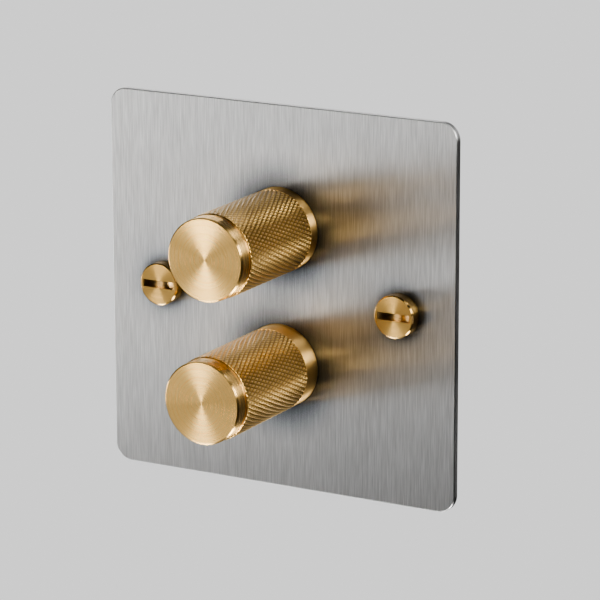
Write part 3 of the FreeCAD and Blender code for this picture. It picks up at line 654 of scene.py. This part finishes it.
def cap_profile():
    face_radius, side_radius, rear_break, spigot_back = 9.0, 9.3, 0.08, 6.6
    return eased([
        (0, 0),
        (face_radius, 0),
        (side_radius, side_radius - face_radius),
        (side_radius, CAP_LENGTH - rear_break),
        (side_radius - rear_break, CAP_LENGTH),
        (SPIGOT_RADIUS, CAP_LENGTH),
        (SPIGOT_RADIUS, spigot_back),
        (0, spigot_back),
    ], FINE_EASE)


def core_profile(end):
    """The turned part of the knob's body under and behind the knurl. Depths are from the knob's front."""
    skirt_bore, skirt_break, hub_radius, hub_back, socket_back = 8.2, 0.3, 4.6, 26.1, 6.7
    return eased([
        (SPIGOT_RADIUS, CAP_LENGTH),
        (NECK_RADIUS, CAP_LENGTH),
        (NECK_RADIUS, LIP_FRONT),
        (LIP_RADIUS, LIP_FRONT),
        (LIP_RADIUS, LIP_FRONT + LIP_LENGTH),
        (NECK_RADIUS, LIP_FRONT + LIP_LENGTH),
        (NECK_RADIUS, CORE_FRONT),
        (CORE_RADIUS, CORE_FRONT),
        (CORE_RADIUS, GRIP_BACK),
        (BAND_RADIUS, GRIP_BACK),
        (BAND_RADIUS, end - skirt_break),
        (BAND_RADIUS - skirt_break, end),
        (skirt_bore, end),
        (skirt_bore, hub_back),
        (hub_radius, hub_back),
        (hub_radius, socket_back),
        (SPIGOT_RADIUS, socket_back),
    ], FINE_EASE)


def knurl_cells(mesh):
    """Adds the knurl's pyramids with blunt points, where two hands of V grooves cross."""
    corners = {}
    half_row = GRIP_LENGTH / KNURL_ROWS

    def vertex(step, row, radius):
        key = (round(step * 100) % (200 * KNURL_STARTS), round(row * 100), radius)
        if key not in corners:
            angle = math.pi * step / KNURL_STARTS
            corners[key] = mesh.verts.new(on_ring(radius, GRIP_FRONT + row * half_row, angle))
        return corners[key]

    for row in range(-1, KNURL_ROWS + 2):
        for step in range(row % 2, 2 * KNURL_STARTS, 2):
            outer, inner = [], []
            for across, along in ((-1, 0), (0, 1), (1, 0), (0, -1)):
                outer.append(vertex(step + across, row + along, KNURL_ROOT))
                inner.append(vertex(step + across * KNURL_POINT, row + along * KNURL_POINT, KNURL_TIP))
            mesh.faces.new(inner)
            for side in range(4):
                ahead = (side + 1) % 4
                mesh.faces.new((outer[side], outer[ahead], inner[ahead], inner[side]))


def add_knurl(mesh):
    """Adds the knurled sleeve: cells trimmed to length, a chamfered front and a closed inside."""
    sleeve = bmesh.new()
    knurl_cells(sleeve)
    cut_across(sleeve, GRIP_FRONT, drop_in_front=True)
    cut_across(sleeve, GRIP_BACK, drop_behind=True)
    for step in range(1, CHAMFER_STEPS + 1):
        cut_across(sleeve, GRIP_FRONT + GRIP_CHAMFER * step / CHAMFER_STEPS)
    chamfer_foot = KNURL_TIP - GRIP_CHAMFER
    for vertex in sleeve.verts:
        radius = math.hypot(vertex.co.x, vertex.co.z) / MM
        limit = chamfer_foot + vertex.co.y / MM - GRIP_FRONT
        if radius > limit:
            vertex.co.x *= limit / radius
            vertex.co.z *= limit / radius
    close_inside(sleeve, CORE_RADIUS - OVERLAP)
    join(mesh, sleeve, material=1)


def make_knobs():
    for gang in GANGS:
        place = axis_front(f"{gang}_knob_cap")
        cap = bmesh.new()
        turn(cap, cap_profile())
        finished(
            f"{gang}_spun_cap",
            cap,
            [MATERIALS["cap_brass"]],
            place,
            f"{gang}_knob_cap",
            f"{gang}_knob",
        )
        end = (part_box(f"{gang}_knob_body")[1].y - place.y) / MM
        grip = bmesh.new()
        turn(grip, core_profile(end))
        add_knurl(grip)
        finished(
            f"{gang}_knurled_grip",
            grip,
            [GRIP_TURNING, MATERIALS["grip_brass"]],
            place,
            f"{gang}_knob_body",
            f"{gang}_knob",
        )


make_knobs()


# ---------------------------------------------------------------------------------------------------------
# Screws and bushes
# ---------------------------------------------------------------------------------------------------------
def cut_slot(piece, cutter_radius, width, depth, slot_reach):
    """Sinks a slot across a screw's face with a round cutter, as a disc taken away from the head."""
    disc = bmesh.new()
    bmesh.ops.create_cone(
        disc,
        cap_ends=True,
        segments=CUTTER_SEGMENTS,
        radius1=cutter_radius * MM,
        radius2=cutter_radius * MM,
        depth=width * MM,
    )
    data = bpy.data.meshes.new("cutter")
    disc.to_mesh(data)
    disc.free()
    cutter = bpy.data.objects.new("cutter", data)
    bpy.context.scene.collection.objects.link(cutter)
    cutter.location = piece.location + Vector((0, depth - cutter_radius, 0)) * MM
    trim = piece.modifiers.new("slot", "BOOLEAN")
    trim.operation = "DIFFERENCE"
    trim.solver = "EXACT"
    trim.object = cutter
    bpy.context.view_layer.update()
    shown = piece.evaluated_get(bpy.context.evaluated_depsgraph_get())
    result = bpy.data.meshes.new_from_object(shown)
    piece.modifiers.clear()
    result.name = piece.name
    piece.data = result
    result.set_sharp_from_angle(angle=SHARP_ANGLE)
    slack = 0.01
    for face in result.polygons:
        across, inward, up = face.center / MM
        if slack < inward < depth + slack and abs(up) < width / 2 + slack and abs(across) < slot_reach:
            face.material_index = 1
    bpy.data.objects.remove(cutter)
    bpy.data.meshes.remove(data)


def make_fixing_screws():
    head_radius, head_height, chamfer, neck_radius, neck_end = 4.9, 2.9, 0.3, 1.4, 6.4
    shank_radius, pitch, thread_depth, thread_bore, core_radius = 1.75, 0.6, 0.32, 1.2, 1.45
    slot_length, slot_width, slot_depth = 8.0, 1.7, 1.2
    slot_reach = head_radius - 0.1
    cutter_radius = slot_length**2 / 8 / slot_depth + slot_depth / 2
    neck_back, core_front = neck_end + 0.1, neck_end + OVERLAP
    for side in ("left", "right"):
        node = f"fixing_screw_{side}"
        low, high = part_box(node)
        length = (high.y - low.y) / MM
        mesh = bmesh.new()
        turn(mesh, eased([
            (0, 0),
            (head_radius - chamfer, 0),
            (head_radius, chamfer),
            (head_radius, head_height),
            (neck_radius, head_height),
            (neck_radius, neck_back),
            (0, neck_back),
        ], FINE_EASE))
        finishes = [MATERIALS["screw_brass"], SLOT_MILLING]
        piece = finished(f"{node}_head", mesh, finishes, axis_front(node), node, "root")
        cut_slot(piece, cutter_radius, slot_width, slot_depth, slot_reach)
        shank = bmesh.new()
        screw_thread(shank, shank_radius, pitch, thread_depth, neck_end, length, thread_bore)
        core_back = length - 0.02
        core = [(0, core_front), (core_radius, core_front), (core_radius, core_back), (0, core_back)]
        turn(shank, core, THREAD_SEGMENTS)
        finished(f"{node}_thread", shank, [THREAD_ROLLING], axis_front(node), node, "root")


def make_bushes():
    """Each control bush: a flange inside the case and a threaded barrel round the spindle."""
    barrel_radius, bore, flange_radius, flange_thick = 5.0, 3.05, 8.6, 1.2
    root_radius, plain_length = 4.5, 1.5
    pitch, thread_depth, thread_bore, thread_start = 0.75, 0.42, 4.2, 0.3
    for gang in GANGS:
        node = f"{gang}_control_bush"
        low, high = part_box(node)
        length = (high.y - low.y) / MM
        thread_end = length - flange_thick - plain_length
        mesh = bmesh.new()
        screw_thread(mesh, barrel_radius, pitch, thread_depth, thread_start, thread_end, thread_bore)
        turn(mesh, eased([
            (bore, 0),
            (root_radius, 0),
            (root_radius, thread_end),
            (barrel_radius, thread_end),
            (barrel_radius, length - flange_thick),
            (flange_radius, length - flange_thick),
            (flange_radius, length),
            (bore, length),
        ], BUSH_EASE), BUSH_SEGMENTS)
        alloy = [MATERIALS["bush_alloy"]]
        finished(f"{gang}_threaded_bush", mesh, alloy, axis_front(node), node, "root")


def make_return_springs():
    """Coil springs that fill each return spring's box from front to rear, attached to no body."""
    wire_radius, wire_sides, turns, steps_per_turn = 0.2, 10, 4, 48
    steps = turns * steps_per_turn
    for gang in GANGS:
        node = f"{gang}_return_spring"
        front = axis_front(node)
        low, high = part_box(node)
        length = (high.y - low.y) / MM
        coil_radius = (high.x - low.x) / MM / 2 - wire_radius
        mesh = bmesh.new()
        rings = []
        for step in range(steps + 1):
            middle = wire_radius + (length - 2 * wire_radius) * step / steps
            ring = []
            for side in range(wire_sides):
                angle = 2 * math.pi * side / wire_sides
                radius = coil_radius + wire_radius * math.cos(angle)
                depth = middle + wire_radius * math.sin(angle)
                ring.append(mesh.verts.new(on_ring(radius, depth, 2 * math.pi * step / steps_per_turn)))
            rings.append(ring)
        for first, second in zip(rings, rings[1:]):
            for side in range(wire_sides):
                ahead = (side + 1) % wire_sides
                mesh.faces.new((first[side], first[ahead], second[ahead], second[side])).smooth = True
        mesh.faces.new(rings[0])
        mesh.faces.new(rings[-1])
        steel = [MATERIALS["spring_steel"]]
        spring = finished(f"{gang}_coil_spring", mesh, steel, front, node, None)
        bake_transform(spring)


make_fixing_screws()
make_bushes()
make_return_springs()

# ---------------------------------------------------------------------------------------------------------
# CAD nodes that stay: finishes and broken edges
# ---------------------------------------------------------------------------------------------------------
# Bevel widths in millimetres
EDGE_BREAKS = {
    "mounting_frame": 0.25,
    "frame_nuts": 0.25,
    "bush_nuts": 0.35,
    "lock_washers": 0.1,
    "earth_terminal": 0.3,
    "earth_screw": 0.12,
    "module_case": 0.35,
    "rear_cover": 0.3,
    "terminal_block": 0.25,
    "terminal_clamps": 0.2,
    "terminal_screws": 0.12,
    "circuit_board": 0.1,
    "push_switch_body": 0.3,
    "heat_sink": 0.15,
    "power_transistors": 0.2,
    "choke_core": 0.2,
    "capacitor": 0.2,
    "pot_housing": 0.25,
}
for name, item in frame["nodes"].items():
    for holder in item.material_slots:
        holder.material = MATERIALS[SLOT_OF[name]]
    kind = name.removeprefix("upper_").removeprefix("lower_")
    if kind in EDGE_BREAKS:
        weld = item.modifiers.new("weld", "WELD")
        weld.merge_threshold = WELD_REACH
        bevel = item.modifiers.new("edges", "BEVEL")
        bevel.width = EDGE_BREAKS[kind] * MM
        bevel.segments = 2
        bevel.limit_method = "ANGLE"
        bevel.angle_limit = BEVEL_ANGLE
        bevel.use_clamp_overlap = True
        item.modifiers.new("normals", "WEIGHTED_NORMAL")
